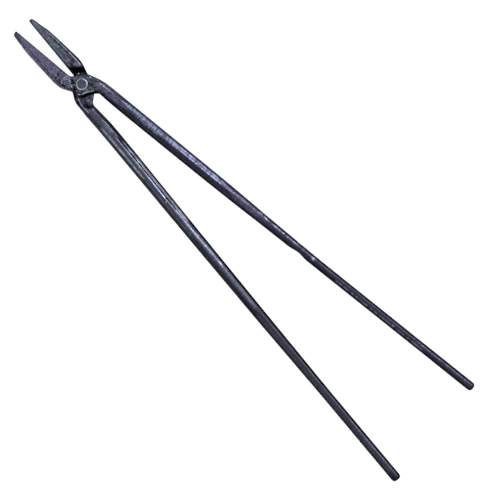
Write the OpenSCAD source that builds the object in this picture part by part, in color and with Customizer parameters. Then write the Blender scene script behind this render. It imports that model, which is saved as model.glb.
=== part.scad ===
// Straight lip tongs: two forged halves cross at flat bosses and turn on one rivet.
// Sizes are millimetres. +X runs from the rivet to the jaw tips and +Z up along the rivet.
// The origin is the middle of the lower rivet head, where it lies on the bench.
// Each half is drawn in its own axes: rivet at 0, jaw along +x on the +y side,
// rein along -x on the -y side, and the face that laps the other half at z = 0.

/* [Jaws] */
// Angle between the two grip faces as the tongs lie
jaw_opening = 10.4; // [6:0.2:16]
// Thickness of a jaw at its tip
jaw_tip_t = 4.8; // [4:0.1:6]
// Thickness of a jaw where its nose ends
jaw_nose_t = 6.7; // [5.5:0.1:8.5]
// Thickness of a jaw where its taper slows
jaw_mid_t = 10.3; // [9:0.1:12]
// Length of the nose, back from the tip
jaw_nose_l = 8; // [6:0.5:12]
// Distance from the tip to where the taper slows
jaw_taper_l = 24; // [18:1:32]
// Depth of a jaw across its grip face, at the tip
jaw_tip_depth = 13; // [9:0.5:16]
// Depth of a jaw across its grip face, at the root
jaw_root_depth = 19; // [17:0.5:22]
// Radius that rounds the outer corner of the tip
nose_r = 2.2; // [1:0.1:2.6]
// Rounding along the edges of the grip face
grip_edge = 0.8; // [0.3:0.1:1.5]
// Width of the bevel along the outer edges of a jaw
jaw_bevel = 2.4; // [1:0.1:3.5]
// Depth of the long hollow in the side of a jaw
hollow_depth = 0.5; // [0.3:0.1:1]
// Radius of that hollow across its width
hollow_r = 6; // [5:0.5:10]
// Distance from the back of the jaw to the middle of the hollow
hollow_inset = 4.4; // [3.5:0.1:5]
// Distance from the tip to where the hollow has its full depth
hollow_start = 27; // [18:1:36]
// Distance from the rivet to where it loses its full depth again
hollow_end = 36; // [32:1:44]
// Length over which it fades in and out
hollow_fade = 7; // [4:1:10]

/* [Boss and rivet] */
// Thickness of one half where it laps the other
boss_t = 9.5; // [8:0.25:11]
// Distance from the rivet axis to the boss edge that faces the jaw gap
boss_set = 9.7; // [9:0.1:11]
// Direction in which that edge faces
boss_angle = -40; // [-44:1:-36]
// Distance from the rivet axis to the foot of the shoulder under the jaw
shoulder_set = 12.4; // [11.8:0.1:14]
// Direction in which both shoulders face
shoulder_angle = 41; // [38:1:44]
// How far the jaw shoulder leans out on its way up
shoulder_run = 5.5; // [4:0.25:7]
// Fillet at the foot of the jaw shoulder
shoulder_fillet = 2; // [1:0.25:4]
// Distance from the rivet axis to where the rein shoulder starts to rise
pocket_set = 15; // [14:0.5:18]
// Radius of the rein shoulder, seen along it
pocket_r = 12; // [9:0.5:15]
// Width of the sloping wall round the crotch of the reins
crotch_wall = 3.4; // [2:0.2:6]
// Depth of the crease between jaw and boss on the outer face
crease_depth = 1.2; // [0.4:0.1:2]
// Radius of that crease
crease_r = 3; // [2:0.25:4]
// Distance from the rivet axis to the crease
crease_set = 9.4; // [9:0.1:11]
// Direction in which the crease faces
crease_angle = 57; // [52:1:62]
// Diameter of the rivet shank
rivet_d = 8; // [6:0.25:9]
// Diameter of the rivet heads
head_d = 13; // [11:0.25:14]
// Height of each rivet head
head_h = 2.5; // [1.5:0.25:4]
// Width of the chamfer round a rivet head
head_chamfer = 1.4; // [0.5:0.1:2]
// Clearance round the shank, on the radius
pivot_clearance = 0.06; // [0.02:0.01:0.1]
// Gap between the two lapped faces
lap_gap = 0.2; // [0.1:0.05:0.4]
// Gap between the lower half and the rivet head under it
head_gap = 0.1; // [0.05:0.05:0.3]

/* [Reins] */
// Width of both reins where they leave the boss
rein_shoulder_w = 13.1; // [12:0.1:14]
// How much less deep than wide a rein is beside the boss
rein_slim = 0.8; // [0:0.1:2]
// Width of the flats forged on the corners beside the boss
rein_flat = 3.7; // [2.5:0.1:4.5]
// Distance from the rivet to the end of the shoulder of a rein
rein_root_x = 28; // [26:0.5:32]
// Distance from the rivet to where a rein has its full width
rein_full_x = 55; // [48:1:65]
// Distance from the rivet to the middle of the square part
rein_mid_x = 190; // [150:5:215]
// Distance from the rivet to where the corners have faded out
rein_neck_x = 250; // [230:5:280]
// Distance from the rivet to where the true round bar starts
rein_round_x = 312; // [295:1:340]
// Length over which the round bar tapers to its end size
rein_taper_l = 100; // [60:5:130]
// Small bevel round the end of each rein
rein_end_bevel = 0.6; // [0.2:0.1:1.5]

/* [Front half] */
// Rivet to jaw tip
front_jaw_l = 88.5; // [80:0.5:100]
// Rivet axis to the plane of the grip face
front_grip = 2; // [0.5:0.1:3]
// Thickness of the jaw at its root
front_root_t = 15.6; // [14:0.1:17]
// Rivet axis to the heel behind the jaw
front_heel = 12.2; // [11:0.1:13.5]
// Distance from the rivet to where the heel has risen to the back of the jaw
front_heel_end = 17; // [15:0.5:23]
// Rivet axis to the hip where the rein begins
front_hip = 12.7; // [12:0.1:13.5]
// Slope of the hip towards the rein
front_hip_slope = 0.28; // [0.2:0.02:0.5]
// Rivet axis to the wall in the crotch of the reins
front_crotch = 13.8; // [13:0.1:15]
// Direction in which that wall faces
front_crotch_angle = 154; // [148:1:158]
// Reach of the fillet between that wall and the rein
front_crotch_fillet = 10; // [1:0.5:12]
// Rivet to rein end
front_rein_l = 515.8; // [460:1:560]
// Width of the rein at its widest
front_full_w = 13.45; // [12.5:0.05:15]
// Width at the middle of the square part
front_mid_w = 12.6; // [11.5:0.1:14]
// Width where the corners have faded out
front_neck_w = 10.3; // [9.5:0.1:12.5]
// Diameter where the round bar starts
front_round_d = 9.1; // [8.8:0.1:12]
// Diameter at the rein end
front_end_d = 8.8; // [8:0.1:9.6]
// Rein centre off the jaw line, beside the boss
front_root_y = 10.55; // [10:0.05:11.5]
// Rein centre off the jaw line, at full width
front_full_y = 10.75; // [9.5:0.05:11.5]
// Rein centre off the jaw line, at the middle of the square part
front_mid_y = 13; // [9.5:0.1:14]
// Rein centre off the jaw line, where the round bar starts
front_round_y = 15; // [9:0.1:17]
// Rein centre off the jaw line, at the rein end
front_end_y = 20.1; // [7:0.1:24]

/* [Back half] */
// Rivet to jaw tip
back_jaw_l = 86.5; // [80:0.5:100]
// Rivet axis to the plane of the grip face
back_grip = -0.9; // [-1.5:0.1:0.5]
// Thickness of the jaw at its root
back_root_t = 15.3; // [14:0.1:17]
// Rivet axis to the heel behind the jaw
back_heel = 10.8; // [10.4:0.1:13]
// Distance from the rivet to where the heel has risen to the back of the jaw
back_heel_end = 21; // [15:0.5:23]
// Rivet axis to the hip where the rein begins
back_hip = 13; // [12:0.1:13.5]
// Slope of the hip towards the rein
back_hip_slope = 0.48; // [0.2:0.02:0.5]
// Rivet axis to the wall in the crotch of the reins
back_crotch = 14.3; // [13:0.1:15]
// Direction in which that wall faces
back_crotch_angle = 139; // [136:1:148]
// Reach of the fillet between that wall and the rein
back_crotch_fillet = 2.5; // [1:0.5:12]
// Rivet to rein end
back_rein_l = 527.5; // [460:1:560]
// Width of the rein at its widest
back_full_w = 14.5; // [12.5:0.05:15]
// Width at the middle of the square part
back_mid_w = 13.15; // [11.5:0.05:14]
// Width where the corners have faded out
back_neck_w = 12.35; // [9.5:0.05:12.5]
// Diameter where the round bar starts
back_round_d = 11.45; // [8.8:0.05:12]
// Diameter at the rein end
back_end_d = 9.6; // [8.8:0.1:10.4]
// Rein centre off the jaw line, beside the boss
back_root_y = 11.2; // [10:0.05:11.5]
// Rein centre off the jaw line, at full width
back_full_y = 9.9; // [9.5:0.05:11.5]
// Rein centre off the jaw line, at the middle of the square part
back_mid_y = 9.95; // [9.5:0.05:14]
// Rein centre off the jaw line, where the round bar starts
back_round_y = 9.75; // [9:0.05:17]
// Rein centre off the jaw line, at the rein end
back_end_y = 8.25; // [7:0.05:24]

/* [Hidden] */
$fn = 64;

FRONT = 0;
BACK = 1;
jaw_l = [front_jaw_l, back_jaw_l];
grip = [front_grip, back_grip];
root_t = [front_root_t, back_root_t];
heel = [front_heel, back_heel];
heel_end = [front_heel_end, back_heel_end];
hip = [front_hip, back_hip];
hip_slope = [front_hip_slope, back_hip_slope];
crotch = [front_crotch, back_crotch];
crotch_angle = [front_crotch_angle, back_crotch_angle];
crotch_fillet = [front_crotch_fillet, back_crotch_fillet];
rein_l = [front_rein_l, back_rein_l];
round_d = [front_round_d, back_round_d];
end_d = [front_end_d, back_end_d];
round_y = [front_round_y, back_round_y];
end_y = [front_end_y, back_end_y];

// Width and centre of each rein at the stations that its taper turns on
rein_width = [
    [[rein_root_x, rein_shoulder_w], [rein_full_x, front_full_w], [rein_mid_x, front_mid_w],
        [rein_neck_x, front_neck_w], [rein_round_x, front_round_d]],
    [[rein_root_x, rein_shoulder_w], [rein_full_x, back_full_w], [rein_mid_x, back_mid_w],
        [rein_neck_x, back_neck_w], [rein_round_x, back_round_d]]
];
rein_centre = [
    [[rein_root_x, front_root_y], [rein_full_x, front_full_y], [rein_mid_x, front_mid_y],
        [rein_round_x, front_round_y]],
    [[rein_root_x, back_root_y], [rein_full_x, back_full_y], [rein_mid_x, back_mid_y],
        [rein_round_x, back_round_y]]
];

// Height of the plane between the two halves above the bench
lap_z = head_h + head_gap + boss_t + lap_gap / 2;
// Where along a half the jaw ends and the flat of the boss begins and ends
jaw_root_x = 24;
boss_flat = 11;
// Reach over which two edges of the boss are rounded into each other
blend = 2;
// Distance from the rivet to where a rein has its own depth and its pocket ends
lap_end = 20;
// Where the heel begins to rise towards the jaw
heel_start = -1;
// Stations along a half, points round each corner of its section and the most that a corner takes of it
nose_rings = 4;
jaw_rings = 13;
boss_rings = 40;
rein_rings = 24;
corner_points = 5;
corner_share = 0.49;
// Point of the section that the tip face starts from, which is on a rounded corner
tip_start = corner_points + 2;
// How far the forged bar runs into the round bar, and how far inside its surface
bar_overlap = 2;
bar_inset = 0.06;
// Longer than any cut needs to be
reach = 60;

// 0 to 1 as x goes from a to b, easing in and out
function ease(a, b, x) =
    let (t = min(max((x - a) / (b - a), 0), 1))
    t * t * (3 - 2 * t);
function mix(p, q, t) = p + (q - p) * t;

// The smaller or larger of two values, with the corner between them rounded over
function soft_min(a, b, r = blend) = min(a, b) - pow(max(r - abs(a - b), 0), 2) / (4 * r);
function soft_max(a, b, r = blend) = max(a, b) + pow(max(r - abs(a - b), 0), 2) / (4 * r);

// Smooth curve through stations [position, value], in rising order of position
function slope_at(p, i) =
    let (a = max(i - 1, 0), b = min(i + 1, len(p) - 1))
    (p[b][1] - p[a][1]) / (p[b][0] - p[a][0]);
function span_of(p, x, i = 0) = i < len(p) - 2 && x > p[i + 1][0] ? span_of(p, x, i + 1) : i;
function curve(p, x) =
    let (
        i = span_of(p, x),
        w = p[i + 1][0] - p[i][0],
        t = min(max((x - p[i][0]) / w, 0), 1),
        m0 = slope_at(p, i) * w,
        m1 = slope_at(p, i + 1) * w
    )
    (2 * t * t * t - 3 * t * t + 1) * p[i][1] + (t * t * t - 2 * t * t + t) * m0
        + (3 * t * t - 2 * t * t * t) * p[i + 1][1] + (t * t * t - t * t) * m1;

// Thickness of a jaw in plan, and half its depth, at x
function jaw_t(h, x) = curve([
    [0, jaw_tip_t],
    [jaw_nose_l, jaw_nose_t],
    [jaw_taper_l, jaw_mid_t],
    [jaw_l[h] - jaw_root_x, root_t[h]]
], jaw_l[h] - x);
function jaw_half_depth(h, x) =
    let (t = min((jaw_l[h] - x) / (jaw_l[h] - jaw_root_x), 1))
    mix(jaw_tip_depth, jaw_root_depth, t) / 2;

// Set-back of an end rounded to radius r, at a distance s behind its tip
function nose(s, r) = s < r ? r - sqrt(r * r - (r - s) * (r - s)) : 0;

// Width, centre line and half depth of a rein at x
function rein_w(h, x) = curve(rein_width[h], -x);
function rein_y(h, x) = -curve(rein_centre[h], -x) - bar_slope(h) * max(-x - rein_round_x, 0);
function rein_half_h(h, x) = (rein_w(h, x) - rein_slim * (1 - ease(rein_mid_x, rein_neck_x, -x))) / 2;
function bar_slope(h) = (end_y[h] - round_y[h]) / (rein_l[h] - rein_round_x);

// Lines in plan that bound the boss: jaw gap side, hip, heel with the back of the jaw, and crotch
function boss_line(x) = (x * cos(boss_angle) - boss_set) / -sin(boss_angle);
function hip_line(h, x) = hip_slope[h] * x - hip[h];
function heel_line(h, x) = mix(heel[h], grip[h] + jaw_t(h, x), ease(heel_start, heel_end[h], x));
function crotch_line(h, x) = (crotch[h] - x * cos(crotch_angle[h])) / sin(crotch_angle[h]);

// The edges of a half in plan: grip side to outer side of the rein, and back of the jaw to the crotch
function near_edge(h, x) =
    soft_min(grip[h], soft_max(soft_max(boss_line(x), hip_line(h, x)), rein_y(h, x) - rein_w(h, x) / 2))
        + nose(jaw_l[h] - x, grip_edge);
function far_edge(h, x) =
    soft_max(
        soft_min(heel_line(h, x), crotch_line(h, x)),
        rein_y(h, x) + rein_w(h, x) / 2,
        crotch_fillet[h]
    ) - nose(jaw_l[h] - x, nose_r);

// The outer and the lapping face of a half, before the lap is cut
function top_face(h, x) =
    mix(
        mix(boss_t, jaw_half_depth(h, x), ease(boss_flat, jaw_root_x, x)),
        rein_half_h(h, x),
        ease(boss_flat, rein_root_x, -x)
    ) - nose(jaw_l[h] - x, jaw_bevel);
function low_face(h, x) =
    -mix(jaw_half_depth(h, x), rein_half_h(h, x), ease(0, lap_end, -x)) + nose(jaw_l[h] - x, jaw_bevel);

// How far the forged flats have faded out of the rein, and the corner that leaves: [y, z, flatness]
function faded(x) = ease(rein_full_x, rein_neck_x, -x);
function rein_corner(h, x) =
    let (r = mix(rein_flat, corner_share * rein_w(h, x), faded(x)))
    [r, r, 1 - faded(x)];
function near_corner(h, x) =
    mix([grip_edge, grip_edge, 0], rein_corner(h, x), ease(-boss_flat / 2, boss_flat, -x));
function far_top_corner(h, x) =
    mix(
        mix([jaw_bevel, jaw_bevel, 1], [crotch_wall / sin(crotch_angle[h]), boss_t, 0.8],
            ease(0, boss_flat, -x)),
        rein_corner(h, x),
        ease(boss_flat, rein_root_x, -x)
    );

// Face that the other half laps, at [x, y]: flat across the boss, then falling away into the pocket
function lap_floor(x, y) =
    let (d = max(-x * cos(shoulder_angle) - y * sin(shoulder_angle) - pocket_set, 0))
    d < pocket_r ? sqrt(pocket_r * pocket_r - d * d) - pocket_r : -pocket_r;

// The lower corners reach up past the lap, by the share on, so that their flats meet its face
function raised(h, x, y, corner, on) =
    let (up = on * max(lap_floor(x, y) - low_face(h, x), 0))
    [corner[0] + up, corner[1] + up, mix(corner[2], 1, on * (1 - faded(x)))];
function near_low_corner(h, x) =
    raised(h, x, near_edge(h, x) + rein_flat, near_corner(h, x), ease(-boss_flat, -boss_flat / 2, -x));
function far_low_corner(h, x) =
    raised(
        h, x, far_edge(h, x) - rein_flat,
        mix([jaw_bevel, jaw_bevel, 1], rein_corner(h, x), ease(boss_flat, rein_root_x, -x)),
        ease(boss_flat / 2, boss_flat, -x)
    );

// One section across a half at x, corner by corner. inset draws the whole section in.
function section(h, x, inset = 0) =
    let (
        near = near_edge(h, x) + inset,
        far = far_edge(h, x) - inset,
        top = top_face(h, x) - inset,
        low = low_face(h, x) + inset,
        wide = corner_share * (far - near),
        high = corner_share * (top - low),
        far_top = fitted(far_top_corner(h, x), wide, high),
        near_top = fitted(near_corner(h, x), wide, high),
        near_low = fitted(near_low_corner(h, x), wide, 2 * high - near_top[1]),
        far_low = fitted(far_low_corner(h, x), wide, 2 * high - far_top[1])
    )
    concat(
        rounded(0, x, far, top, far_top),
        rounded(1, x, near, top, near_top),
        rounded(2, x, near, low, near_low),
        rounded(3, x, far, low, far_low)
    );
function fitted(corner, wide, high) = [min(corner[0], wide), min(corner[1], high), corner[2]];

// Points round corner q of a section, drawn in from the sharp corner at [y, z]
function rounded(q, x, y, z, corner) =
    [for (k = [0 : corner_points - 1])
        let (
            a = 90 * (q + k / (corner_points - 1)),
            m = 1 / mix(1, abs(cos(a)) + abs(sin(a)), corner[2])
        )
        [
            x,
            y + corner[0] * (m * cos(a) - (q == 0 || q == 3 ? 1 : -1)),
            z + corner[1] * (m * sin(a) - (q < 2 ? 1 : -1))
        ]
    ];

// Where the sections stand, from the tip of the jaw to the start of the round bar
function stations(h) = concat(
    [for (i = [0 : nose_rings]) jaw_l[h] - nose_r * (1 - cos(90 * i / nose_rings))],
    [for (i = [1 : jaw_rings]) mix(jaw_l[h] - nose_r, jaw_root_x, i / jaw_rings)],
    [for (i = [1 : boss_rings]) mix(jaw_root_x, -rein_root_x, i / boss_rings)],
    [for (i = [1 : rein_rings]) mix(-rein_root_x, -rein_round_x, i / rein_rings)]
);

// Jaw, boss and square rein as one bar, lofted through its sections
module forged_bar(h) {
    sections = concat(
        [for (x = stations(h)) section(h, x, x == -rein_round_x ? bar_inset : 0)],
        [section(h, -rein_round_x - bar_overlap, 2 * bar_inset)]
    );
    n = len(sections[0]);
    last = len(sections) - 1;
    sides = [for (i = [0 : last - 1], j = [0 : n - 1])
        let (a = i * n + j, b = i * n + (j + 1) % n)
        each [[a, b, b + n], [a, b + n, a + n]]
    ];
    tip = [[for (j = [n - 1 : -1 : 0]) (j + tip_start) % n]];
    end = [[for (j = [0 : n - 1]) last * n + j]];
    polyhedron(points = [for (s = sections) each s], faces = concat(tip, sides, end));
}

// Round part of a rein: a short taper, then true bar to the square-cut end
module round_bar(h) {
    run = rein_l[h] - rein_round_x;
    long = run * sqrt(1 + bar_slope(h) * bar_slope(h));
    translate([-rein_round_x, -round_y[h], 0])
        rotate([0, -90, atan(bar_slope(h))])
            rotate_extrude()
                polygon([
                    [0, 0],
                    [round_d[h] / 2, 0],
                    [end_d[h] / 2, rein_taper_l],
                    [end_d[h] / 2, long - rein_end_bevel],
                    [end_d[h] / 2 - rein_end_bevel, long],
                    [0, long]
                ]);
}

// What is cut from under the boss so that the other half can lap it and swing
module lap_cut() {
    lean = atan(2 * shoulder_run / jaw_root_depth);
    tangent = shoulder_fillet / tan((90 + lean) / 2);
    depth = reach / 2;
    rotate([90, 0, shoulder_angle])
        linear_extrude(2 * reach, center = true) {
            polygon([
                [-pocket_set, 0],
                [shoulder_set - tangent, 0],
                [shoulder_set + tangent * sin(lean), -tangent * cos(lean)],
                [shoulder_set + depth * tan(lean), -depth],
                [-pocket_set, -depth]
            ]);
            translate([shoulder_set - tangent, -shoulder_fillet])
                circle(shoulder_fillet);
            translate([-pocket_set, -pocket_r])
                circle(pocket_r);
        }
}

// Long shallow hollow in the lapping side of a jaw, fading out at both ends
module jaw_hollow(h) {
    ends = [for (x = [hollow_end, jaw_l[h] - hollow_start])
        [
            x,
            grip[h] + jaw_t(h, x) - hollow_inset,
            -jaw_half_depth(h, x) - hollow_r + hollow_depth
        ]
    ];
    run = ends[1] - ends[0];
    clear = hollow_r - 1.2 * hollow_depth;
    translate(ends[0])
        rotate([0, acos(run.z / norm(run)), atan2(run.y, run.x)])
            rotate_extrude()
                polygon([
                    [0, -hollow_fade],
                    [clear, -hollow_fade],
                    [hollow_r, 0],
                    [hollow_r, norm(run)],
                    [clear, norm(run) + hollow_fade],
                    [0, norm(run) + hollow_fade]
                ]);
}

// Crease across the outer face where the jaw was set off from the boss
module crease() {
    rotate([0, 0, crease_angle])
        translate([crease_set, 0, boss_t + crease_r - crease_depth])
            rotate([90, 0, 0])
                cylinder(h = reach, r = crease_r, center = true);
}

// Hole for the rivet through one boss
module rivet_hole() {
    translate([0, 0, -boss_t])
        cylinder(h = 3 * boss_t, r = rivet_d / 2 + pivot_clearance);
}

// One whole half in its own axes
module forged_half(h) {
    difference() {
        union() {
            forged_bar(h);
            round_bar(h);
        }
        lap_cut();
        jaw_hollow(h);
        crease();
        rivet_hole();
    }
}

// Half that lies on top: its boss carries the upper rivet head
module front_half() {
    color("#5d5a6b")
        translate([0, 0, lap_z + lap_gap / 2])
            rotate([0, 0, jaw_opening / 2])
                forged_half(FRONT);
}

// Half that lies underneath, turned over so that the bosses lap
module back_half() {
    color("#535263")
        translate([0, 0, lap_z - lap_gap / 2])
            rotate([0, 0, -jaw_opening / 2])
                rotate([180, 0, 0])
                    forged_half(BACK);
}

// The one rivet: shank and both heads in one piece, closed on the bench
module pivot_rivet() {
    r = head_d / 2;
    shank = rivet_d / 2;
    seat = lap_z + lap_gap / 2 + boss_t;
    color("#6b6c7c")
        rotate_extrude()
            polygon([
                [0, 0],
                [r - head_chamfer, 0],
                [r, head_chamfer],
                [r, head_h],
                [shank, head_h],
                [shank, seat],
                [r, seat],
                [r, seat + head_h - head_chamfer],
                [r - head_chamfer, seat + head_h],
                [0, seat + head_h]
            ]);
}

front_half();
back_half();
pivot_rivet();
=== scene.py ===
import math

import bmesh
import bpy
import numpy as np
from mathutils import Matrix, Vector


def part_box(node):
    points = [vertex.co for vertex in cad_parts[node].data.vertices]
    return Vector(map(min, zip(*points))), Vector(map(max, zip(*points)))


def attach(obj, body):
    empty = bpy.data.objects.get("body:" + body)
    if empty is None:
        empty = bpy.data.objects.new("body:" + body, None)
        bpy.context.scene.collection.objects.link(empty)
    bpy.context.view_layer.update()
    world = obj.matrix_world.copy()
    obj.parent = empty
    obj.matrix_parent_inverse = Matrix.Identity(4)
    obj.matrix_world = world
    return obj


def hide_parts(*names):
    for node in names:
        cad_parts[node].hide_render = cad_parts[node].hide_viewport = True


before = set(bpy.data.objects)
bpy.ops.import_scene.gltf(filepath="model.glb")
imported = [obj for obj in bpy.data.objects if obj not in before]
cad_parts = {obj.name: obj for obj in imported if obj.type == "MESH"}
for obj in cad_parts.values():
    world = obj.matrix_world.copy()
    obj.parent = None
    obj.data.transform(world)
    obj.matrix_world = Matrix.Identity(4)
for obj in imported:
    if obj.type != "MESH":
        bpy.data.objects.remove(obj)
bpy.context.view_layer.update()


# Front half: jaw, boss and rein in one forging, drawn out of 3/4 inch bar under the hammer.
# It was wire-brushed and oiled hot, which leaves a thin blue-black skin that the hand has
# burnished on the ridges; its colour also carries painted highlights along the reins and ridges,
# and painted shade in the creases, under edges and on the flanks. It laps over the back half and
# carries the upper rivet head.

SKIN_STEP = 0.00058   # metres between the facets of the forged skin, small against a 1.5 mm hammer ridge
MM = 1000             # millimetres in a metre, because the bars are worked in millimetres


def plain_mesh(piece):
    """Works the piece's modifiers into its mesh, so that none is left on it."""
    shape = piece.evaluated_get(bpy.context.evaluated_depsgraph_get())
    worked = bpy.data.meshes.new_from_object(shape)
    piece.modifiers.clear()
    piece.data = worked


def forging_blank(solid, name):
    """The solid's own shape in even small facets, its arrises softened as a forging's are."""
    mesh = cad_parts[solid].data.copy()
    work = bmesh.new()
    work.from_mesh(mesh)
    bmesh.ops.remove_doubles(work, verts=work.verts, dist=1e-6)
    work.to_mesh(mesh)
    work.free()
    blank = bpy.data.objects.new(name, mesh)
    bpy.context.scene.collection.objects.link(blank)
    skin = blank.modifiers.new("even skin", "REMESH")
    skin.mode = "VOXEL"
    skin.voxel_size = SKIN_STEP
    arris = blank.modifiers.new("soft arrises", "SMOOTH")
    arris.factor = 0.5
    arris.iterations = 2
    plain_mesh(blank)
    return blank


front = forging_blank("front_half", "front_forging")


def ease(low, high, x):
    """0 at low to 1 at high, easing in and out."""
    t = np.clip((x - low) / (high - low), 0, 1)
    return t * t * (3 - 2 * t)


def evened_row(values):
    """A row of values, each averaged with the two on either side of it."""
    return np.convolve(np.pad(values, 2, mode="edge"), np.ones(5) / 5, mode="valid")


class Bar:
    """The points of a half, straightened out. All in mm: along from the rivet, + to the jaw tip; across
    from the middle of the bar, + to world +Y; up from the middle of its depth. y is the distance from the
    rivet's line, + on the side of the half's own jaw."""

    def __init__(self, piece, turn, middle_z, jaw_side):
        self.piece = piece
        self.turn = math.radians(turn)
        self.middle_z = middle_z
        self.jaw_side = jaw_side
        flat = np.empty(len(piece.data.vertices) * 3, np.float32)
        piece.data.vertices.foreach_get("co", flat)
        co = flat.reshape(-1, 3).astype(float) * MM
        edges = np.empty(len(piece.data.edges) * 2, np.int32)
        piece.data.edges.foreach_get("vertices", edges)
        self.edges = edges.reshape(-1, 2)
        c, s = math.cos(self.turn), math.sin(self.turn)
        self.along = co[:, 0] * c + co[:, 1] * s
        side = co[:, 1] * c - co[:, 0] * s

        # the middle and half the width of the bar, measured every 2 mm and evened over 10 mm
        step = 2.0
        slot = np.floor(self.along / step).astype(int)
        first = slot.min()
        low = np.full(slot.max() - first + 1, 1e9)
        high = -low
        np.minimum.at(low, slot - first, side)
        np.maximum.at(high, slot - first, side)
        stations = (np.arange(len(low)) + first + 0.5) * step
        self.centre = np.interp(self.along, stations, evened_row((low + high) / 2))
        self.half = np.interp(self.along, stations, evened_row((high - low) / 2))
        self.across = side - self.centre
        self.up = co[:, 2] - middle_z
        self.y = jaw_side * side

        # which way the skin faces at each point: along, across and up
        piece.data.vertices.foreach_get("normal", flat)
        nx, ny, nz = flat.reshape(-1, 3).T.astype(float)
        self.facing = np.stack([nx * c + ny * s, ny * c - nx * s, nz])

    def evened(self, values, rounds):
        """Values of the points, each averaged with its neighbours' so many times."""
        a, b = self.edges.T
        count = np.bincount(self.edges.ravel(), minlength=len(values))
        for _ in range(rounds):
            values = np.stack([
                (np.bincount(a, v[b], len(v)) + np.bincount(b, v[a], len(v))) / count for v in values.T
            ], -1)
        return values

    def soften(self, where, rounds):
        """Works an arris down by so many rounds, where the share is 1."""
        here = np.stack([self.along, self.across, self.up], -1)
        here += (self.evened(here, rounds) - here) * where[:, None]
        self.along, self.across, self.up = here.T

    def swell(self, by):
        """Stands the skin out by so many mm, one value for each point."""
        self.along += by * self.facing[0]
        self.across += by * self.facing[1]
        self.up += by * self.facing[2]

    def strike(self, start, end, facing, depth, fade=8.0):
        """A flat hammered lengthwise from start to end, facing so many degrees from straight up towards +Y.
        It reaches its depth over fade mm at each end."""
        sine, cosine = math.sin(math.radians(facing)), math.cos(math.radians(facing))
        start = max(start, self.along.min())
        struck = np.nonzero((self.along > start) & (self.along < end))[0]
        x = self.along[struck]
        height = self.across[struck] * sine + self.up[struck] * cosine
        slot = np.minimum(x - start, end - start - 1).astype(int)
        top = np.full(slot.max() + 1, -1e9)
        np.maximum.at(top, slot, height)
        limit = np.interp(x, np.arange(len(top)) + start + 0.5, evened_row(top))
        limit -= depth * ease(start, start + fade, x) * ease(-end, -end + fade, -x)
        over = np.maximum(height - limit, 0)
        self.across[struck] -= over * sine
        self.up[struck] -= over * cosine

    def loose_blows(self, start, end, seed, most):
        """The marks that drawing out leaves: overlapping flats of the hammer face, all round the bar."""
        chance = np.random.default_rng(seed)
        x = start
        while x < end:
            long = chance.uniform(14, 30)
            self.strike(-x - long, -x, chance.uniform(-180, 180), chance.uniform(0.1, 1) * most, long / 2)
            x += chance.uniform(2, 7)

    def round_end(self, bulge):
        """Works the corner off the rein's end and leaves its face a little domed."""
        end = self.along.min()
        self.soften(ease(end + 3, end + 1.5, self.along), rounds=7)
        out = np.hypot(self.across, self.up) / self.half
        self.along -= bulge * ease(end + 2, end + 0.5, self.along) * np.clip(1 - out ** 2, 0, 1)

    def put_back(self):
        """Gives the worked points back to the piece."""
        c, s = math.cos(self.turn), math.sin(self.turn)
        side = self.across + self.centre
        self.y = self.jaw_side * side
        co = np.stack([
            self.along * c - side * s, self.along * s + side * c, self.up + self.middle_z
        ], -1) / MM
        self.piece.data.vertices.foreach_set("co", co.astype(np.float32).ravel())
        self.piece.data.update()
        flat = np.empty(len(co) * 3, np.float32)
        self.piece.data.vertices.foreach_get("normal", flat)
        normal = flat.reshape(-1, 3)

        # level: 1 where hammer and anvil met it, on the faces that look up, 0 on the flanks; the colour reads
        # it to paint the flats lighter and the flanks darker, painted shade on the flanks
        self.level = ease(0.25, 0.9, np.abs(normal[:, 2]))

        # stands: how many mm it stands out of its neighbours, + on a ridge and - in a crease
        around = self.evened(co, 3)
        self.stands = np.sum((co - around) * normal, -1) * MM

    def spot(self, x, y, long, wide, turn=0.0):
        """1 inside an oval place at x along and y, fading to 0 at its rim. long and wide are half sizes."""
        c, s = math.cos(math.radians(turn)), math.sin(math.radians(turn))
        off, out = self.along - x, self.y - y
        return ease(1.0, 0.2, np.hypot((off * c + out * s) / long, (out * c - off * s) / wide))

    def spots(self, *table):
        """The strongest of several spots. Each row has a strength, then what spot takes."""
        return np.max([strength * self.spot(*place) for strength, *place in table], axis=0)

    def seam(self, width, *points):
        """1 along a line through points (along, y), fading to 0 at its edges."""
        here = np.stack([self.along, self.y], -1)
        near = np.full(len(here), 1e9)
        for a, b in zip(points, points[1:]):
            a, b = np.array(a, float), np.array(b, float)
            share = np.clip((here - a) @ (b - a) / ((b - a) @ (b - a)), 0, 1)
            near = np.minimum(near, np.linalg.norm(here - a - share[:, None] * (b - a), axis=1))
        return ease(1.0, 0.25, near / (width / 2))

    def width_share(self):
        """How far across the bar each point lies: 0 at its -Y edge and 1 at its +Y edge."""
        return (self.across / self.half + 1) / 2

    def streaks(self, *table):
        """Lines along the rein: each runs from start to end, counted from the rivet, at a share of the
        width at its start and at its end, is so many mm wide, and has a strength."""
        place = self.width_share()
        total = np.zeros(len(place))
        for start, end, at_start, at_end, width, strength in table:
            share = np.clip((-self.along - start) / (end - start), 0, 1)
            off = (place - (at_start + (at_end - at_start) * share)) * 2 * self.half / (width / 2)
            fade = min(8.0, (end - start) / 2)
            run = ease(start, start + fade, -self.along) * ease(-end, -end + fade, self.along)
            total = np.maximum(total, strength * run * np.exp(-off ** 2))
        return total * ease(-0.5, 1.0, self.up)


front_bar = Bar(front, turn=5.2, middle_z=12.3, jaw_side=1)
x, up = front_bar.along, front_bar.up

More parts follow.
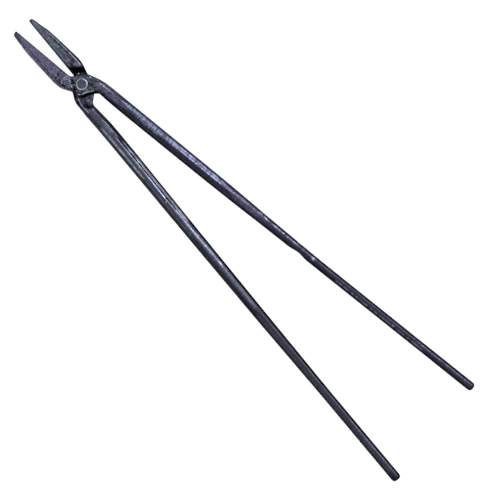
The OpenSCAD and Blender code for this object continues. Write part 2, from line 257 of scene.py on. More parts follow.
# The rein starts a little thick, for the softening and the blows to take off again, and the lip in the
# crotch is rolled over.
REIN_SWELL = 0.25     # mm
front_bar.swell(REIN_SWELL * ease(-22, -30, x))
front_bar.swell(0.9 * front_bar.spot(-19.5, -4.6, 5.0, 3.4) * ease(1, 3, up))
for blow in (
    (-200, -40, 33, 0.95, 14),      # long flat on the inner side of the top, which stays dark
    (-192, -40, -27, 0.6, 14),      # the flat beside it, which faces the lamp
    (-232, -188, 6, 0.45, 12),      # broad flat where the hammer drew the bar down to round
    (-304, -278, 20, 0.5, 8),       # flat that runs into the nick
    (-299, -273, 90, 1.35, 13),     # nick on the inside of the rein
    (-287, -275, -90, 0.3, 6),      # its small answer on the outside
):
    front_bar.strike(*blow)
BLOW_DEPTH = 0.13     # mm, the deepest mark that drawing out left
front_bar.loose_blows(30, 500, seed=3, most=BLOW_DEPTH)

# The arrises of the boss were worked down, less beside the crotch, where the lip dies away into the rein.
boss_top = ease(4, 6.5, up) * ease(-34, -26, x) * ease(34, 26, x)
front_bar.soften(boss_top * (1 - front_bar.spot(-11, 2, 9, 13)), rounds=9)
front_bar.soften(front_bar.spot(-18.5, -6.2, 5.5, 5.0) * ease(0.5, 2, up), rounds=24)
front_bar.round_end(bulge=1.0)
front_bar.put_back()


def mark(piece, name, values):
    """A value, or three, for every point of a piece, for its material and its skin to read."""
    kind, socket = ("FLOAT_VECTOR", "vector") if values.ndim == 2 else ("FLOAT", "value")
    layer = piece.data.attributes.new(name, kind, "POINT")
    layer.data.foreach_set(socket, values.astype(np.float32).ravel())


def mark_skin(piece, bar, lapped, scaly):
    """What the forged skin reads. bar: the place that patterns are drawn on. free: how far the skin may
    stand off the solid, so none on the lapped faces and round the rivet. scaly: how broken the scale is."""
    from_rivet = np.hypot(bar.along, bar.y)
    mark(piece, "bar", np.stack([bar.along, bar.across, bar.up], -1))
    mark(piece, "free", np.where(lapped, 0.0, 0.7 + scaly) * ease(7.2, 9.0, from_rivet))
    mark(piece, "scaly", scaly)


LAP = (-22, 24)       # mm along, between which the faces of the two bosses lap
CREASE_SHADE = 7       # painted shade for each mm that a crease lies below its neighbours

x, y, up = front_bar.along, front_bar.y, front_bar.up
mark_skin(
    front, front_bar,
    lapped=(x > LAP[0]) & (x < LAP[1]) & (up < 0.9),
    scaly=np.interp(
        x, (-516, -60, -30, -12, 14, 26, 40, 70, 88),
        (0.35, 0.40, 0.60, 0.85, 0.95, 0.80, 0.50, 0.40, 0.60)),
)

# Where the wire brush thinned the scale, least on the far rein, together with painted light: the flats are
# painted lighter than the flanks, which is painted shade on the flanks, and walls in shade in the crotch are
# painted lighter.
# The pale olive line along the heel bevel is a painted reflection of the table.
heel_bevel_reflection = front_bar.seam(3.4, (7, 13.6), (14, 15.6), (24, 16.0), (32, 15.2), (50, 12.9), (76, 8.8))
# In the crotch, where the lip runs out into the rein, the wall in shade is painted lighter and its painted
# shade is mostly taken off.
scroll = front_bar.spot(-18, -6.5, 5.5, 4.5)     # where the lip in the crotch runs out into the rein
jaw_tip = ease(82, 85, x) * (up > 0)
mark(front, "brushed_and_lit", np.max([
    front_bar.level * np.interp(
        x, (-516, -430, -300, -245, -230, -190, -60, -26, -12, 2, 12, 20, 34, 60, 88),
        (0.20, 0.12, 0.15, 0.22, 0.50, 0.42, 0.40, 0.82, 0.80, 0.94, 0.80, 0.84, 1.0, 1.0, 1.0)
    ) * (1 - 0.6 * front_bar.spot(-7.8, -6.4, 6.5, 7.5)),
    heel_bevel_reflection,
    0.55 * scroll,
    0.7 * jaw_tip,
], axis=0))

# Painted highlights, partly burnished wear: bright streaks along the reins where the lamp's reflection runs,
# the lit ridge of the lip in the crotch, flecks on the heel, a scar, and painted light on the crotch wall
# where it lies in shade.
lip = (up > 4) * front_bar.seam(
    1.8, (-15.6, -5.2), (-13.6, -2.2), (-11.4, 0.6), (-9, 4.4), (-6.6, 8.6), (-3.8, 11))
mark(front, "burnish_and_highlight", np.max([
    front_bar.streaks(
        (46, 178, 0.27, 0.25, 8.4, 0.14), (112, 178, 0.20, 0.18, 1.8, 0.26),
        (60, 180, 0.47, 0.42, 2.0, 0.30), (70, 100, 0.56, 0.56, 2.6, 0.40),
        (184, 230, 0.30, 0.34, 4.6, 0.12), (222, 244, 0.14, 0.26, 1.8, 0.85),
        (244, 286, 0.26, 0.30, 1.8, 0.35), (284, 300, 0.34, 0.34, 4.6, 0.14),
        (298, 306, 0.34, 0.38, 3.4, 0.80), (440, 512, 0.34, 0.38, 1.3, 0.16),
        (332, 456, 0.70, 0.72, 1.3, 0.60), (409, 414, 0.66, 0.66, 1.8, 1.0),
    ),
    front_bar.spots(
        (0.80, 16.2, 12.6, 1.6, 0.9), (0.80, 18.5, 11.3, 1.5, 1.2), (1.00, 13.6, 12.3, 1.3, 0.9),
        (0.24, 17.5, 6, 3.2, 4.5), (0.25, 6.6, 8.9, 1.3, 0.9), (0.25, 10.4, 5.4, 0.9, 1.1),
        (0.60, 9.6, -3.5, 0.9, 1.6), (1.30, 4.6, -9.9, 1.3, 0.8, 30), (1.30, 7.3, -8.6, 1.2, 0.9, 40),
        (1.20, 9.3, -6.4, 0.9, 1.2),
    ),
    1.7 * lip,
    0.40 * front_bar.seam(1.4, (-22, -7), (-19.5, -9.4), (-15.5, -7.8), (-14, -5)),
    0.14 * front_bar.seam(1.6, (-21, -12.6), (-15, -13.2), (-10, -12.2)),
    0.60 * front_bar.seam(1.6, (-20, -5.4), (-17, -6.2), (-15.2, -5)),
    0.30 * heel_bevel_reflection,
], axis=0))

# Painted shade, with a little black scale: painted shade in the creases, on the crotch wall, on the lower
# faces, round the rivet head, along the edges and inner flanks of the rein and in dark lines between its
# painted highlights; black scale in the pits.
crotch = front_bar.seam(6.5, (-15, -5), (-13, 0), (-9.5, 7), (-6.5, 11.5))
pits = (
    (10.4, 3.3, 1.4), (7.8, 4.5, 1.5), (8.7, 6.4, 1.7), (4.8, 7.6, 1.8), (3.0, 8.3, 1.5), (0.8, 8.8, 1.4),
    (2.8, 10.1, 1.7), (5.2, 10.3, 1.6), (0.8, 10.8, 1.4), (13.2, 13.7, 1.3), (14.9, 13.7, 1.3),
    (15.6, 2.6, 1.1),
)
scale_and_shade = np.max([
    np.clip(-front_bar.stands * CREASE_SHADE, 0, 0.9),
    0.6 * (1 - ease(-3.0, 2.5, up)) * (x > -30),
    0.75 * crotch * (1 - front_bar.level) * (1 - lip),
    front_bar.spots(*((1.2, pit_x, pit_y, size, size) for pit_x, pit_y, size in pits)),
    front_bar.spots(
        (0.50, 12.0, 10.8, 1.2, 1.4), (0.55, 13.2, 1.6, 1.0, 1.4), (0.40, -7.6, -6.2, 5.4, 6.0),
    ),
    # painted shade: a ring round the rivet head, the crease, a dark line inside the lip, and the rein root's
    # lit arris painted dark
    0.30 * ease(8.4, 7.2, np.hypot(x, y)),
    0.20 * front_bar.seam(4.0, (3, 10), (7.5, 5.5), (11.5, 0), (12.5, -2)),
    0.50 * front_bar.seam(1.8, (-12, -6), (-10.2, -1.5), (-7.2, 3.4), (-4, 7.8), (-2, 10)),
    0.40 * front_bar.seam(2.4, (-14, -12.6), (-7, -11.6), (0, -10.4)),
    # painted shade: a dark line along the jaw's inner edge and along the heel's outer arris
    0.45 * front_bar.seam(1.8, (17, 2.6), (50, 2.6), (88, 2.5)),
    0.62 * front_bar.seam(1.5, (9, 12.0), (15, 13.7), (21, 14.2), (30, 13.7), (40, 12.1), (60, 9.3)),
], axis=0)
scale_and_shade *= 1 - 0.85 * scroll * (up > -2)
# painted shade: the edges of the rein where they turn away, and dark lines between its painted highlights
inner_edge = ease(0.82, 0.98, front_bar.width_share()) * ease(-14, -24, x) * ease(-215, -180, x)
outer_edge = ease(0.12, 0.02, front_bar.width_share()) * ease(-300, -340, x)
dark_lines = front_bar.streaks((60, 112, 0.25, 0.27, 1.2, 0.40), (116, 152, 0.30, 0.31, 1.2, 0.34))
scale_and_shade = np.max([scale_and_shade, 0.9 * inner_edge, 0.9 * outer_edge, dark_lines], axis=0)
mark(front, "scale_and_shade", np.clip(scale_and_shade, 0, 1))

# The green-grey that the oil leaves where it burned off last, round the boss; along the heel bevel it tints
# the painted reflection olive.
mark(front, "bloom_and_painted_tint", np.maximum(ease(20, 8, x) * ease(-30, -14, x), 0.8 * heel_bevel_reflection))


def linear(hex_colour):
    """sRGB hex to the linear colour that a socket takes."""
    parts = [int(hex_colour[i:i + 2], 16) / 255 for i in (1, 3, 5)]
    return tuple(c / 12.92 if c <= 0.04045 else ((c + 0.055) / 1.055) ** 2.4 for c in parts) + (1,)


def add(tree, kind, inputs=None, **settings):
    """A node of a tree with its settings. Each input takes a value, or the node or socket that feeds it."""
    made = tree.nodes.new(kind)
    for name, value in settings.items():
        setattr(made, name, value)
    for name, value in (inputs or {}).items():
        if isinstance(value, bpy.types.Node):
            value = next(socket for socket in value.outputs if socket.enabled)
        if isinstance(value, bpy.types.NodeSocket):
            tree.links.new(value, made.inputs[name])
        else:
            made.inputs[name].default_value = value
    return made


def oil_blackened_steel(tone, flats, cool, green, highlight_colour, seed, rippled):
    """Oil-blackened forged steel: wire-brushed fire scale with oil burned in. The eye sees a satin
    skin, near black where the scale is thick and where shade is painted in, with violet and blue-grey
    bloom where it was brushed and where light is painted on, and pale painted highlights on the ridges
    and streaks, partly where the hand has burnished it. No bare metal shows."""
    steel = bpy.data.materials.new("oil-blackened " + tone)
    steel.use_nodes = True
    tree = steel.node_tree
    tree.nodes.clear()
    bar = add(tree, "ShaderNodeAttribute", attribute_name="bar").outputs["Vector"]
    layers = {}
    for mask in ("brushed_and_lit", "burnish_and_highlight", "scale_and_shade", "bloom_and_painted_tint", "scaly"):
        layers[mask] = add(tree, "ShaderNodeAttribute", attribute_name=mask).outputs["Fac"]
    for pattern, grain, detail, rough, low, high in (
        ("patches", (35, 22, 22), 2, 0.5, 0.38, 0.62),      # patches of bloom, 2 to 4 cm
        ("mottle", (3.2, 2.6, 2.6), 3, 0.6, 0.32, 0.68),    # thick and thin scale, 2 to 3 mm
        ("flecks", (2.0, 1.6, 1.6), 2, 0.6, 0.58, 0.68),    # scale knocked off, drawn 1.6 mm wide to show
        ("drawn", (36, 1.5, 1.5), 3, 0.6, 0.34, 0.66),      # draw marks along the bar, 1.5 mm apart
        ("ticks", (2.2, 8, 8), 2, 0.75, 0.42, 0.58),        # ripples across it, drawn 2.2 mm apart to show
        ("grain", (0.5, 0.5, 0.5), 2, 0.6, 0.0, 1.0),       # wire-brush grain
    ):
        placed = add(tree, "ShaderNodeMapping", {
            "Vector": bar, "Location": (seed * 37.0, seed * 11.0 + len(layers), 0),
            "Scale": tuple(1 / size for size in grain),
        })
        noise = add(tree, "ShaderNodeTexNoise", {
            "Vector": placed, "Scale": 1.0, "Detail": detail, "Roughness": rough,
        })
        layers[pattern] = add(tree, "ShaderNodeMapRange", {"Value": noise, "From Min": low, "From Max": high})

    # brushed skin over black scale, in blotches where the scale is broken; the brushed share also carries
    # painted light
    thick = add(tree, "ShaderNodeMath", {0: layers["mottle"], 1: -1.0, 2: 1.0}, operation="MULTIPLY_ADD")
    lost = add(tree, "ShaderNodeMath", {0: thick, 1: layers["scaly"]}, operation="MULTIPLY")
    kept = add(tree, "ShaderNodeMath", {0: 1.0, 1: lost}, operation="SUBTRACT")
    lined = add(tree, "ShaderNodeMath", {0: layers["ticks"], 1: 0.2, 2: 0.7}, operation="MULTIPLY_ADD")
    lined = add(tree, "ShaderNodeMath", {0: layers["drawn"], 1: 0.25, 2: lined}, operation="MULTIPLY_ADD")
    kept = add(tree, "ShaderNodeMath", {0: kept, 1: lined}, operation="MULTIPLY")
    bare = add(tree, "ShaderNodeMath", {0: kept, 1: layers["brushed_and_lit"]}, operation="MULTIPLY")
    # inside the painted highlights the ripples darken the skin between them
    cut = add(tree, "ShaderNodeMath", {0: layers["ticks"], 1: -1.4, 2: 1.4}, operation="MULTIPLY_ADD")
    cut = add(tree, "ShaderNodeMath", {0: cut, 1: layers["burnish_and_highlight"]}, operation="MULTIPLY")
    cut = add(tree, "ShaderNodeMath", {0: 1.0, 1: cut}, operation="SUBTRACT", use_clamp=True)
    bare = add(tree, "ShaderNodeMath", {0: bare, 1: cut}, operation="MULTIPLY")
    tint = add(tree, "ShaderNodeMix", {
        0: layers["patches"], 6: linear(flats), 7: linear(cool)}, data_type="RGBA")
    tint = add(tree, "ShaderNodeMix", {0: layers["bloom_and_painted_tint"], 6: tint, 7: linear(green)}, data_type="RGBA")
    skin = add(tree, "ShaderNodeMix", {0: bare, 6: linear("#202027"), 7: tint}, data_type="RGBA")

    # pale flecks, then painted highlights and painted shade over it
    knocked = add(tree, "ShaderNodeMath", {0: layers["flecks"], 1: layers["scaly"]}, operation="MULTIPLY")
    knocked = add(tree, "ShaderNodeMath", {0: knocked, 1: layers["brushed_and_lit"]}, operation="MULTIPLY")
    skin = add(tree, "ShaderNodeMix", {0: knocked, 6: skin, 7: linear("#9a9ab0")}, data_type="RGBA")
    highlight_share = add(tree, "ShaderNodeMath", {
        0: layers["ticks"], 1: rippled, 2: 1 - rippled}, operation="MULTIPLY_ADD")
    highlight_share = add(tree, "ShaderNodeMath", {0: highlight_share, 1: layers["burnish_and_highlight"]}, operation="MULTIPLY")
    lined = add(tree, "ShaderNodeMath", {0: layers["drawn"], 1: 0.4, 2: 0.6}, operation="MULTIPLY_ADD")
    highlight_share = add(tree, "ShaderNodeMath", {0: highlight_share, 1: lined}, operation="MULTIPLY")
    skin = add(tree, "ShaderNodeMix", {0: highlight_share, 6: skin, 7: linear(highlight_colour)}, data_type="RGBA")
    ragged = add(tree, "ShaderNodeMath", {0: thick, 1: -0.35}, operation="ADD")
    ragged = add(tree, "ShaderNodeMath", {0: ragged, 1: layers["scaly"]}, operation="MULTIPLY")
    black = add(tree, "ShaderNodeMath", {0: ragged, 1: 0.8, 2: layers["scale_and_shade"]}, operation="MULTIPLY_ADD")
    black = add(tree, "ShaderNodeMapRange", {"Value": black, "From Min": 0.15, "From Max": 0.85})
    skin = add(tree, "ShaderNodeMix", {0: black, 6: skin, 7: linear("#070709")}, data_type="RGBA")

    dull = add(tree, "ShaderNodeMath", {0: layers["mottle"], 1: -0.12, 2: 0.44}, operation="MULTIPLY_ADD")
    dull = add(tree, "ShaderNodeMath", {0: black, 1: 0.25, 2: dull}, operation="MULTIPLY_ADD")
    dull = add(tree, "ShaderNodeMath", {0: highlight_share, 1: -0.06, 2: dull}, operation="MULTIPLY_ADD")

    relief = add(tree, "ShaderNodeMath", {0: layers["mottle"], 1: 0.6, 2: 0.0}, operation="MULTIPLY_ADD")
    for pattern, share in (("ticks", 0.4), ("drawn", 0.4), ("grain", 0.3)):
        relief = add(tree, "ShaderNodeMath", {
            0: layers[pattern], 1: share, 2: relief}, operation="MULTIPLY_ADD")
    bump = add(tree, "ShaderNodeBump", {"Height": relief, "Strength": 0.6, "Distance": 0.00016})

    glance = add(tree, "ShaderNodeMix", {
        0: black, 6: linear("#50505c"), 7: linear("#141418")}, data_type="RGBA")
    shader = add(tree, "ShaderNodeBsdfPrincipled", {
        "Base Color": skin, "Metallic": 1.0, "Roughness": dull, "Normal": bump, "Specular Tint": glance,
    })
    add(tree, "ShaderNodeOutputMaterial", {"Surface": shader})
    return steel


def forged_skin_tree():
    """Geometry nodes that work the forged skin over a half: slow undulation, pitted scale, and the
    fine ripples that drawing out leaves across the bar. The point value "free" says where it may."""
    tree = bpy.data.node_groups.new("forged skin", "GeometryNodeTree")
    face = tree.interface
    face.new_socket("Geometry", in_out="INPUT", socket_type="NodeSocketGeometry")

    # depths, sizes and spacing in metres
    for name, value in (
        ("Undulation Depth", 0.00016), ("Undulation Size", 0.016), ("Scale Depth", 0.00009),
        ("Scale Size", 0.0028), ("Ripple Depth", 0.00005), ("Ripple Spacing", 0.0022), ("Seed", 1.0),
    ):
        face.new_socket(name, in_out="INPUT", socket_type="NodeSocketFloat").default_value = value
    face.new_socket("Finish", in_out="INPUT", socket_type="NodeSocketMaterial")
    face.new_socket("Geometry", in_out="OUTPUT", socket_type="NodeSocketGeometry")
    given = add(tree, "NodeGroupInput").outputs
    bar = add(tree, "GeometryNodeInputNamedAttribute", {"Name": "bar"}, data_type="FLOAT_VECTOR")
    free = add(tree, "GeometryNodeInputNamedAttribute", {"Name": "free"}, data_type="FLOAT")
    metres = add(tree, "ShaderNodeVectorMath", {0: bar.outputs[0], "Scale": 0.001}, operation="SCALE")
    height = None
    for size, depth, stretch in (
        ("Undulation Size", "Undulation Depth", (0.6, 1.0, 1.0)),
        ("Scale Size", "Scale Depth", (1.0, 1.0, 1.0)),
        ("Ripple Spacing", "Ripple Depth", (1.0, 0.14, 0.14)),
    ):
        even = add(tree, "ShaderNodeVectorMath", {0: metres, 1: stretch}, operation="MULTIPLY")
        scale = add(tree, "ShaderNodeMath", {0: 1.0, 1: given[size]}, operation="DIVIDE")
        noise = add(tree, "ShaderNodeTexNoise", {
            "Vector": even, "W": given["Seed"], "Scale": scale, "Detail": 2.0}, noise_dimensions="4D")
        level = add(tree, "ShaderNodeMath", {0: noise, 1: 0.5}, operation="SUBTRACT")
        height = add(tree, "ShaderNodeMath", {
            0: level, 1: given[depth], 2: height or 0.0}, operation="MULTIPLY_ADD")
    held = add(tree, "ShaderNodeMath", {0: height, 1: free.outputs[0]}, operation="MULTIPLY")
    normal = add(tree, "GeometryNodeInputNormal")
    shift = add(tree, "ShaderNodeVectorMath", {0: normal.outputs[0], "Scale": held}, operation="SCALE")
    moved = add(tree, "GeometryNodeSetPosition", {"Geometry": given["Geometry"], "Offset": shift})
    smooth = add(tree, "GeometryNodeSetShadeSmooth", {"Geometry": moved})
    real = add(tree, "GeometryNodeRealizeInstances", {"Geometry": smooth})
    painted = add(tree, "GeometryNodeSetMaterial", {"Geometry": real, "Material": given["Finish"]})
    add(tree, "NodeGroupOutput", {"Geometry": painted})
    return tree


forged_skin = forged_skin_tree()


def work_skin(piece, finish, seed):
    """Works the forged skin over a piece and gives it its finish."""
    worked = piece.modifiers.new("forged skin", "NODES")
    worked.node_group = forged_skin
    sockets = {s.name: s.identifier for s in forged_skin.interface.items_tree if s.in_out == "INPUT"}
    worked[sockets["Finish"]] = finish
    worked[sockets["Seed"]] = seed
    plain_mesh(piece)


# The pale colour last in the list is that of the painted highlights.
violet_steel = oil_blackened_steel(
    "forged steel, violet", flats="#6b6685", cool="#5c6078", green="#737a88", highlight_colour="#b6bcdc",
    seed=1.0, rippled=0.9)
work_skin(front, violet_steel, seed=3.0)
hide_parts("front_half")
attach(front, "front")


# Back half: the same kind of forging, turned over so that the two bosses lap. Its rein keeps sharper
# lengthwise flats with worn ridges, and a long hollow was set into the side of its jaw. The shoulder
# under the jaw and the pocket behind the boss, which the front half swings over, are painted near
# black: painted shade over their black scale. Its streaks and ridges carry painted highlights.

back = forging_blank("back_half", "back_forging")
back_bar = Bar(back, turn=-5.2, middle_z=12.1, jaw_side=-1)
x, up = back_bar.along, back_bar.up
back_bar.swell(REIN_SWELL * ease(-22, -30, x))
back_bar.loose_blows(30, 515, seed=8, most=BLOW_DEPTH)
for blow in (
    (-176, -50, -24, 0.4, 40),      # narrow flat along the upper ridge, which shines
    (69, 90, -90, 0.5, 2.5),        # the outline of the jaw steps in near its tip
):
    back_bar.strike(*blow)
back_bar.soften(ease(4, 6, up) * ease(-36, -28, x) * ease(36, 28, x), rounds=22)
back_bar.round_end(bulge=0.9)
back_bar.put_back()

x, y, up = back_bar.along, back_bar.y, back_bar.up
mark_skin(
    back, back_bar,
    lapped=(x > LAP[0]) & (x < LAP[1]) & (up > -0.9) & (up < 3),
    scaly=np.interp(
        x, (-528, -60, -30, -12, 14, 26, 40, 70, 87),
        (0.30, 0.30, 0.40, 0.75, 0.95, 0.85, 0.55, 0.40, 0.50)),
)

hollow = back_bar.seam(7.5, (38, 6.6), (50, 5.8), (62, 4.8), (74, 3.8))
pocket = ease(-34, -28, x) * ease(-6, -9, x) * ease(-17, -14, y)
# The throat, between the jaw's shoulder and the boss, is painted near black: painted shade.
throat_end = np.interp(y, (0, 5, 10, 13), (15.2, 14.6, 12.8, 12.0))
throat = ease(throat_end + 2, throat_end - 1.5, x) * ease(9.5, 11.5, x)
# The top of the slope under the jaw is painted lighter, painted light that takes off its shade.
ramp = back_bar.level * ease(14, 15.5, x) * ease(21, 19, x) * (up > -2)    # top of the slope under the jaw
jaw_tip = ease(82, 85, x) * (up > 0)
# Where the wire brush thinned the scale, with painted light: the flats are painted lighter than the flanks
# (painted shade on the flanks), and the slope under the jaw, the lap face beside the throat, the pocket floor
# and its end wall are painted lighter.
mark(back, "brushed_and_lit", np.max([
    back_bar.level * np.interp(
        x, (-528, -430, -300, -240, -140, -60, -24, -8, 12, 24, 34, 60, 87),
        (0.18, 0.18, 0.20, 0.42, 0.45, 0.58, 0.74, 0.50, 0.3, 0.50, 0.74, 0.76, 0.88)),
    0.5 * ease(15, 18, x) * ease(30, 26, x) * (up > -2),
    0.9 * ramp,
    0.5 * ease(5, 7, x) * ease(12, 10, x),
    0.45 * pocket * (up > -2),
    0.5 * back_bar.spot(-25, -10, 3.5, 5),
    0.4 * jaw_tip,
], axis=0))

# A pale ring with a dark middle: the painted highlight of a small dimple's rim.
dimple_highlight = 0.4 * back_bar.spot(20.5, 9.5, 2.4, 2.2) - 0.4 * back_bar.spot(20.5, 9.5, 1.2, 1.0)
# Painted highlights, partly worn ridges: streaks along the rein, its upper ridge, the ridge of the hollow,
# and flecks beside the throat.
mark(back, "burnish_and_highlight", np.max([
    back_bar.streaks(
        (46, 120, 0.76, 0.73, 1.5, 1.30), (62, 152, 0.38, 0.42, 1.0, 0.90),
        (70, 112, 0.17, 0.18, 2.6, 0.70), (92, 184, 0.18, 0.19, 2.6, 1.80),
        (40, 62, 0.30, 0.36, 4.0, 0.30), (148, 236, 0.29, 0.34, 4.8, 0.26),
        (150, 200, 0.42, 0.44, 1.4, 0.40), (228, 244, 0.30, 0.38, 2.4, 0.75),
        (230, 300, 0.40, 0.44, 2.6, 0.22), (300, 520, 0.72, 0.72, 2.8, 0.12),
        (446, 512, 0.32, 0.34, 1.3, 0.06), (110, 200, 0.72, 0.70, 1.5, 0.35),
        (149, 152, 0.44, 0.52, 1.6, 1.20),
    ),
    back_bar.spots(
        (0.35, 28, 5, 4.5, 1.8), (2.0, 7.5, 10.6, 1.4, 1.0), (2.0, 9.7, 8.0, 1.1, 1.3),
        (2.0, 11, 4.6, 0.9, 1.3),
    ),
    0.80 * back_bar.spot(-17.6, -5.8, 1.0, 2.6, 20) * (up > -1),
    1.3 * back_bar.seam(1.3, (-27, -13.8), (-15, -14.2), (-8, -12.6)) * (up > 0),
    0.26 * back_bar.seam(1.2, (17, 11.4), (30, 11.2), (44, 9.9), (60, 8.4), (69, 7.4)) * (up > 3),
    0.12 * back_bar.seam(3.0, (20, 2.0), (60, 1.8), (86, 2.2)),
    dimple_highlight,
], axis=0))

# Painted shade, with a little black scale: creases, the lower faces, the throat, the end of the pocket, the
# arrises and inner edge of the jaw, the outer edge of the rein and dark lines between its painted highlights;
# less on the lap face beside the throat.
scale_and_shade = np.max([
    np.clip(-back_bar.stands * CREASE_SHADE, 0, 0.8) * (1 - hollow) * (1 - pocket) * (1 - ramp),
    0.6 * (1 - ease(-3.0, 2.5, up)) * (x > -30) * (1 - pocket) * (1 - ramp),
    0.68 * throat,
    0.66 * back_bar.spot(-19.5, -9.8, 10.0, 3.6),
    0.30 * back_bar.seam(1.6, (33, 9.6), (44, 8.2), (60, 6.8), (75, 4.8)),
    0.40 * back_bar.seam(1.6, (18, 0.2), (60, -0.2), (86, 0.3)),
    0.60 * back_bar.seam(1.8, (10, 12.4), (17, 13.2), (24, 13.2), (34, 12.2), (46, 10.8)),
    back_bar.streaks((62, 168, 0.27, 0.30, 2.0, 0.90), (233, 237, 0.44, 0.44, 1.2, 0.7)),
], axis=0)
scale_and_shade *= 1 - back_bar.seam(5.5, (6, 11), (9, 9), (11, 4)) * (up > -2)
outer_edge = ease(0.17, 0.05, back_bar.width_share()) * ease(-38, -48, x)
mark(back, "scale_and_shade", np.clip(np.maximum(scale_and_shade, 0.9 * outer_edge), 0, 1))
# The green-grey of the oil in the hollow and on the jaw, and a green tint over the painted shade at the end
# of the pocket.
mark(back, "bloom_and_painted_tint", np.max([
    0.8 * hollow,
    0.35 * ease(28, 36, x) * ease(84, 60, x),
    0.4 * back_bar.spot(-20.5, -10.4, 6, 3.4),
], axis=0))
# The pale colour last in the list is that of the painted highlights.
slate_steel = oil_blackened_steel(
    "forged steel, slate", flats="#605e72", cool="#535864", green="#5f6c70", highlight_colour="#c4cbe6",
    seed=2.0, rippled=0.45)
work_skin(back, slate_steel, seed=8.0)
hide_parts("back_half")
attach(back, "back")


# Rivet: one 8 mm mild steel shank, headed at both ends. The heads were set hot and their rims dressed
# with the hammer, so the chamfer is burnished and not quite even, and the flat is mottled with scale.
# The chamfer's pale ring is also a painted highlight, brighter on its +Y side, and the sides of the
# heads and the shank are painted dark, painted shade.

HEAD_RADIUS = 6.5     # mm
HEAD_DEPTH = 2.5      # mm from the boss to the flat of the head
SHANK_RADIUS = 4.0    # mm
FLAT_RADIUS = 4.9     # mm: the flat of the head, inside its chamfer
ROUND = 96            # points round each ring
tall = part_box("pivot_rivet")[1][2] * MM
head = (
    (0.0, 0.0), (2.4, 0.0), (4.0, 0.02), (FLAT_RADIUS, 0.06),
    (5.25, 0.22), (5.7, 0.62), (6.15, 1.08), (6.4, 1.45),
    (HEAD_RADIUS, 1.8), (HEAD_RADIUS, HEAD_DEPTH), (5.2, HEAD_DEPTH), (SHANK_RADIUS, HEAD_DEPTH),
)
shank = [(SHANK_RADIUS, z) for z in (7.0, 12.15, 17.3)]
work = bmesh.new()
loops = []
for r, z in [*head, *shank, *((r, tall - z) for r, z in reversed(head))]:
    loop = []
    for k in range(ROUND if r else 1):
        turn = math.tau * k / ROUND
        uneven = 1 + (0.012 * math.sin(3 * turn + 1) + 0.014 * math.sin(8 * turn + 2.2)) * (4.5 < r < 6.4)
        loop.append(work.verts.new((
            r * uneven * math.cos(turn) / MM, r * uneven * math.sin(turn) / MM, z / MM)))
    loops.append(loop)
for a, b in zip(loops, loops[1:]):
    for k in range(ROUND):
        n = (k + 1) % ROUND
        corners = (a[k % len(a)], b[k % len(b)], b[n % len(b)], a[n % len(a)])
        work.faces.new(dict.fromkeys(corners))    # a point in the middle of a head counts once
bmesh.ops.recalc_face_normals(work, faces=work.faces)
co = np.array([v.co[:] for v in work.verts]) * MM
mesh = bpy.data.meshes.new("rivet")
work.to_mesh(mesh)
work.free()
rivet = bpy.data.objects.new("rivet", mesh)
bpy.context.scene.collection.objects.link(rivet)

radius = np.hypot(co[:, 0], co[:, 1])
on_head = (co[:, 2] < 2.4) | (co[:, 2] > tall - 2.4)
chamfer = ease(4.95, 5.35, radius) * ease(6.4, 6.0, radius)
mark(rivet, "bar", co - np.array([0, 0, tall / 2]))
mark(rivet, "free", np.where(on_head & (radius < 4.6), 0.6, 0.0))
mark(rivet, "scaly", np.where(chamfer > 0.5, 0.1, 0.5))
mark(rivet, "brushed_and_lit", np.where(on_head, 0.7, 0.1))
# painted highlight on the chamfer, brighter towards +Y
mark(rivet, "burnish_and_highlight", np.where(on_head, (1.5 + 1.5 * ease(-3, 4, co[:, 1])) * chamfer, 0.0))
# painted shade on the sides of the heads and on the shank
mark(rivet, "scale_and_shade", np.where(on_head & (radius < 6.48), 0.0, 0.7))
mark(rivet, "bloom_and_painted_tint", np.full(len(co), 0.3))
# The pale colour last in the list is that of the painted highlights.
rivet_steel = oil_blackened_steel(
    "rivet steel", flats="#6a6c86", cool="#5f6478", green="#4a5560", highlight_colour="#d4d9e4",
    seed=3.0, rippled=0.6)
work_skin(rivet, rivet_steel, seed=5.0)
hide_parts("pivot_rivet")
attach(rivet, "front")


# Table: a plain white sheet under the tongs, one large soft lamp from the -Y side and a weak one
# from overhead. The camera looks straight down, turned so that the jaws point to the upper left.

MIDDLE = Vector((-0.25, 0, 0))    # metres, the middle of the tongs, which both lamps face
for name, place, size, power, colour in (
    ("side softbox", (-0.25, -1.3, 1.2), (1.8, 0.5), 30, "#f0f3ff"),
    ("top softbox", (-0.25, 0.3, 2.4), (2.6, 2.2), 14, "#ffffff"),
):
    lamp = bpy.data.lights.new(name, "AREA")
    lamp.shape = "RECTANGLE"
    lamp.size, lamp.size_y = size
    lamp.energy = power
    lamp.color = linear(colour)[:3]
    stand = bpy.data.objects.new(name, lamp)
    stand.location = place
    stand.rotation_euler = (MIDDLE - Vector(place)).to_track_quat("-Z", "Y").to_euler()
    bpy.context.scene.collection.objects.link(stand)

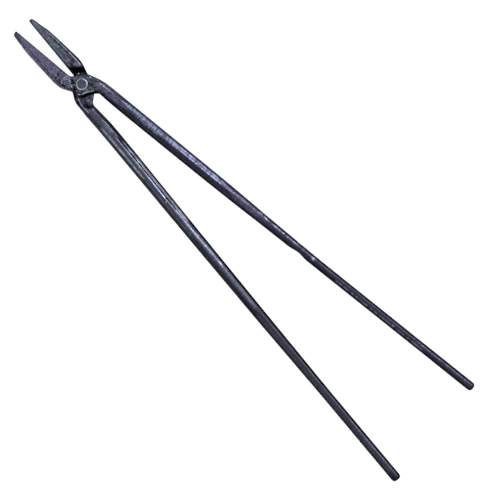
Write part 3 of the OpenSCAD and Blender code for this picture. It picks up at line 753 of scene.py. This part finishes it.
sheet = bpy.data.meshes.new("table")
work = bmesh.new()
bmesh.ops.create_grid(work, x_segments=1, y_segments=1, size=8)
work.to_mesh(sheet)
work.free()
table = bpy.data.objects.new("table", sheet)
bpy.context.scene.collection.objects.link(table)
paper = bpy.data.materials.new("white paper")
paper.use_nodes = True
tree = paper.node_tree
tree.nodes.clear()
ray = add(tree, "ShaderNodeLightPath").outputs
seen = add(tree, "ShaderNodeMath", {0: ray["Is Camera Ray"], 1: ray["Is Glossy Ray"]}, operation="MAXIMUM")
seen = add(tree, "ShaderNodeMath", {0: seen, 1: ray["Is Transmission Ray"]}, operation="MAXIMUM")
lift = add(tree, "ShaderNodeMath", {0: seen, 1: 0.93}, operation="MULTIPLY")
matt = add(tree, "ShaderNodeBsdfDiffuse", {"Color": linear("#707070")})
glow = add(tree, "ShaderNodeEmission", {"Color": linear("#ffffff"), "Strength": lift})
both = add(tree, "ShaderNodeAddShader", {0: matt, 1: glow})
add(tree, "ShaderNodeOutputMaterial", {"Surface": both})
sheet.materials.append(paper)

world = bpy.data.worlds.new("studio")
bpy.context.scene.world = world
world.use_nodes = True
tree = world.node_tree
tree.nodes.clear()
room = add(tree, "ShaderNodeBackground", {"Color": linear("#ffffff"), "Strength": 0.45})
add(tree, "ShaderNodeOutputWorld", {"Surface": room})

CAMERA_HEIGHT = 8.0       # metres, far enough that height hardly moves a point in the picture
REIN_HEIGHT = 0.012       # metres, the middle of the bars above the table
VIEW_WIDTH = 0.5225       # metres across the photograph at the height of the reins
VIEW_MIDDLE = (-0.2465, -0.0029)    # metres, the place in the middle of the photograph
VIEW_TURN = 225.3         # degrees
FILM_WIDTH = 36           # mm
shot = bpy.data.cameras.new("camera")
shot.sensor_width = FILM_WIDTH
shot.lens = FILM_WIDTH * (CAMERA_HEIGHT - REIN_HEIGHT) / VIEW_WIDTH
shot.clip_start, shot.clip_end = 0.1, 60
camera = bpy.data.objects.new("camera", shot)
camera.location = (*VIEW_MIDDLE, CAMERA_HEIGHT)
camera.rotation_euler = (0, 0, math.radians(VIEW_TURN))
bpy.context.scene.collection.objects.link(camera)
bpy.context.scene.camera = camera
bpy.context.scene.view_settings.view_transform = "Standard"
